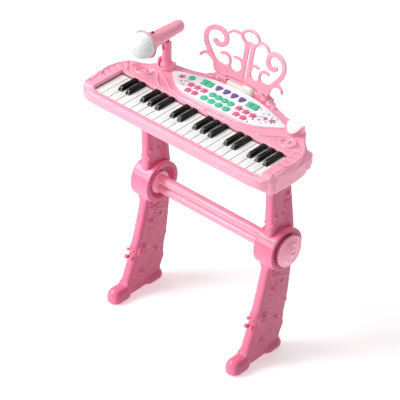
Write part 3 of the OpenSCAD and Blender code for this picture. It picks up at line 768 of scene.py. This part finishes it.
def shaped_lamp(mesh):
    """Squares the left half of the long lens and swells its right half into a dome, as the photo shows."""
    co = points_of(mesh)
    x, y, z = co[:, 0] / MM, (co[:, 1] - KEY_FRONT) / MM, co[:, 2] / MM
    u, v = (y - LAMP_Y) / LAMP_R, (z - LAMP_Z) / LAMP_R
    round_off = np.hypot(u, v) / np.maximum(np.maximum(np.abs(u), np.abs(v)), 1e-6) - 1
    square = 1 + 0.5 * round_off * (1 - smoothstep(x, 2, 6))
    bump = np.sqrt(np.clip(1 - ((x - SWELL_X) / SWELL_REACH) ** 2, 0, 1)) * np.clip(v, 0, 1)
    lens = x < LAMP_SPLIT / MM
    co[lens, 1] = ((LAMP_Y + u * LAMP_R * square - 3 * bump) * MM + KEY_FRONT)[lens]
    co[lens, 2] = ((LAMP_Z + v * LAMP_R * square + 6 * bump) * MM)[lens]
    put_points(mesh, co)
    return mesh


def make_lamps(materials):
    mesh = shaped_lamp(moulded(welded("lamp_lenses"), 0.6, 3))
    ribs = [([(x, 160), (x, 185)], 1.6, -0.7) for x in range(-28, 3, 5)]
    rings = [(dot(SWELL_X, 169, r) + [(SWELL_X + r, 169)], 1.2, -0.5) for r in (4, 8)]
    rings += [(dot(CUP_X, CUP_Y, r) + [(CUP_X + r, CUP_Y)], 1.3, 0.3) for r in (4, 8)]
    emboss(mesh, 2, ribs + rings, sides=(1,))
    piece("lamp_lenses_moulding", thinned(mesh, 0.5), "stand_and_casing", "lens", materials["lens"],
          "lamp_lenses")


def make_music_rest(materials):
    mesh = thinned(moulded(welded("music_rest"), 0.6, 4, swell=0.3), 0.4)
    piece("music_rest_moulding", mesh, "music_rest", "pink_casing", materials["pink_casing"], "music_rest")


# ---- Microphone ----

# Facets round the grille and rows of them along it, and the share of its radius that they start from
GRILLE_AROUND, GRILLE_RINGS = 22, 9
GRILLE_SHARE = 0.985

# Radius that the post's head is kept to, above its foot
KNUCKLE = 9.4
KNUCKLE_FOOT = 485


def make_grille(materials):
    """A ball of raised facets, cut off where the trumpet's rim holds it."""
    low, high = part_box("microphone_grille")
    full = (high.x - low.x) / 2
    middle = Vector(((low.x + high.x) / 2, low.y + full, (low.z + high.z) / 2))
    around, rings, radius = GRILLE_AROUND, GRILLE_RINGS, full * GRILLE_SHARE
    end_angle = math.acos((middle.y - high.y) / full)
    bm = bmesh.new()
    rows = []
    for j in range(1, rings + 1):
        angle = end_angle * j / rings
        row = []
        for i in range(around):
            turn = 2 * math.pi * (i + 0.5 * (j % 2)) / around
            reach = radius * math.sin(angle)
            row.append(bm.verts.new(middle + Vector((
                reach * math.cos(turn), -radius * math.cos(angle), reach * math.sin(turn)))))
        rows.append(row)
    tip = bm.verts.new(middle + Vector((0, -radius, 0)))
    facets = [bm.faces.new((tip, rows[0][i], rows[0][(i + 1) % around])) for i in range(around)]
    for j, (a, b) in enumerate(zip(rows[:-1], rows[1:]), 1):
        for i in range(around):
            n = (i + 1) % around
            if j % 2:
                facets += [bm.faces.new((a[i], b[i], b[n])), bm.faces.new((a[i], b[n], a[n]))]
            else:
                facets += [bm.faces.new((a[i], b[i], a[n])), bm.faces.new((a[n], b[i], b[n]))]
    bm.faces.new(rows[-1])
    bmesh.ops.recalc_face_normals(bm, faces=bm.faces)
    bmesh.ops.inset_individual(bm, faces=facets, thickness=0.45 * MM, depth=0.5 * MM)
    mesh = bpy.data.meshes.new("microphone_grille_facets")
    bm.to_mesh(mesh)
    bm.free()
    piece("microphone_grille_facets", mesh, "microphone", "grille", materials["grille"], "microphone_grille")


def make_post(materials):
    """The post that the microphone sits on, with its head rounded."""
    post = moulded(welded("microphone_post"), 0.6, 3)
    co = points_of(post)
    axis = np.array([-CUP_X * MM, CUP_Y * MM + KEY_FRONT])
    reach = np.linalg.norm(co[:, :2] - axis, axis=1)
    head = (co[:, 2] > KNUCKLE_FOOT * MM) & (reach > KNUCKLE * MM)
    co[head, :2] = axis + (co[head, :2] - axis) * (KNUCKLE * MM / reach[head])[:, None]
    put_points(post, co)
    piece("microphone_post_moulding", thinned(post, 0.5), "microphone_post", "pink_stand",
          materials["pink_post"], "microphone_post")


def make_microphone(materials):
    body = thinned(moulded(welded("microphone_body"), 0.7, 3), 0.5)
    piece("microphone_body_moulding", body, "microphone", "pink_casing", materials["pink_casing"],
          "microphone_body")
    make_grille(materials)
    switch = bevelled(welded("microphone_switch"), 0.5)
    piece("microphone_switch_moulding", switch, "microphone_switch", "dark_trim", materials["dark_trim"],
          "microphone_switch")
    make_post(materials)


# ---- Stand ----

def upper_leg_relief():
    """A ringed knob, four stems and three notes, on both faces of the upper legs."""
    lines = [([(117, 335)], 9, 3.6), (arc((117, 335), 9.4, 0, 360, 20), 1.8, -1.6)]
    for k in range(4):
        shift = 4.6 * k
        stops = [(119 - shift, 326), (122 - shift, 305), (124 - shift, 280), (119 - shift, 252)]
        lines.append((curve(stops), 1.9, 2.2))
    for y, z in ((85, 302), (80, 286), (104, 300)):
        lines += [([(y, z)], 5, 3), ([(y + 3, z), (y + 4, z + 13)], 1.6, 2)]
    return lines


def lower_leg_relief():
    """Grooves under the collar, leaves, stems and a spiral over the foot, on both faces of the lower legs."""
    return [
        ([(81, 186), (104, 186)], 2.6, -2.4), (curve([(78, 176), (92, 174), (107, 177)]), 2.8, 2.4),
        (curve([(76, 176), (75, 162), (77, 150)]), 2.4, -2.2),
        (curve([(90, 172), (91, 162), (90, 150)]), 2.2, -2),
        ([(84, 143)], 9, 3.4), ([(108, 148)], 8, 3), (curve([(98, 168), (112, 160), (122, 150)]), 2.2, 2.4),
        (curve([(95, 165), (103, 135), (117, 112)]), 2, 2.4),
        (curve([(90, 137), (99, 115), (112, 99)]), 2, 2.4),
        (curve([(78, 132), (78, 115), (86, 100)]), 2, 2.2),
        (arc((60, 88), 13, 20, 200), 2.8, 3), (arc((60, 88), 6.5, -60, 180), 2, 2.4), ([(56, 84)], 4.5, 2.8),
        (curve([(72, 92), (84, 80), (98, 76)]), 2.4, 2.4), ([(96, 70)], 7, 3.2),
        ([(55, 38)], 5.5, 3.4), (arc((55, 38), 9.5, -30, 210), 1.8, 2), ([(80, 48)], 5, 2.8),
    ]


def leg_beads():
    """Note heads in front of the lower legs, and knobs along their back edges."""
    beads = []
    for side in (-1, 1):
        for face in (LEG_IN + 5, LEG_OUT - 5):
            x = side * face
            beads += [([(x, 31, 81)], 4.8), ([(x, 36, 96)], 3.6)]
        for y, z, r in ((121, 98, 6.5), (113.5, 66, 6), (114, 47, 5.5), (127, 128, 3)):
            beads.append(([(side * (LEG_IN + 6), y, z), (side * (LEG_OUT - 6), y, z)], r))
    return beads


def make_legs(materials):
    pink = materials["pink_stand"]
    half = (LEG_OUT - LEG_IN) / 2
    upper = rounded_front(moulded(welded("upper_legs"), 1.1, 3), LEG_MIDDLE, half, 240, 436)
    emboss(upper, 0, upper_leg_relief())
    piece("upper_legs_moulding", thinned(upper, 0.5), "stand_and_casing", "pink_stand", pink, "upper_legs")
    lower = rounded_front(moulded(welded("lower_legs"), 1.4, 1), LEG_MIDDLE, half, 24, 200)
    lower = moulded(with_beads(lower, leg_beads()), 1.2, 3)
    lower = thinned(emboss(lower, 0, lower_leg_relief()), 0.5)
    piece("lower_legs_moulding", lower, "stand_and_casing", "pink_stand", pink, "lower_legs")
    bar = bevelled(welded("crossbar"), 0.6)
    piece("crossbar_moulding", bar, "stand_and_casing", "pink_casing", materials["pink_casing"], "crossbar")


def make_leg_caps(materials):
    """The round caps, with a swirl inside a ring."""
    swirl = [
        (arc(COLLAR, 18, 40, 230), 5.5, 2.4), (spiral(COLLAR, 3, 11, 160, 0.9), 3, 1.9),
        (arc(COLLAR, 23, -90, 10), 4, 1.8), (arc(COLLAR, 26.5, 0, 360, 30), 1.6, -1.0),
    ]
    caps = emboss(moulded(welded("leg_caps"), 0.9, 4), 0, swirl)
    piece("leg_caps_moulding", thinned(caps, 0.5), "stand_and_casing", "pink_casing",
          materials["pink_casing"], "leg_caps")


def paint_cad_nodes(materials):
    """The parts under and inside the casing keep their CAD shape."""
    slots = {"circuit_board": "circuit_board", "speaker": "speaker", "battery_door": "pink_casing",
             "screws": "steel"}
    for node, slot in slots.items():
        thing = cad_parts[node]
        thing.data.materials.clear()
        thing.data.materials.append(materials[slot])


make_camera()
make_stage()
make_lights()
finishes = make_materials()
make_casing(finishes)
make_keys(finishes)
make_panel(finishes)
make_buttons(finishes)
make_lamps(finishes)
make_music_rest(finishes)
make_microphone(finishes)
make_legs(finishes)
make_leg_caps(finishes)
paint_cad_nodes(finishes)
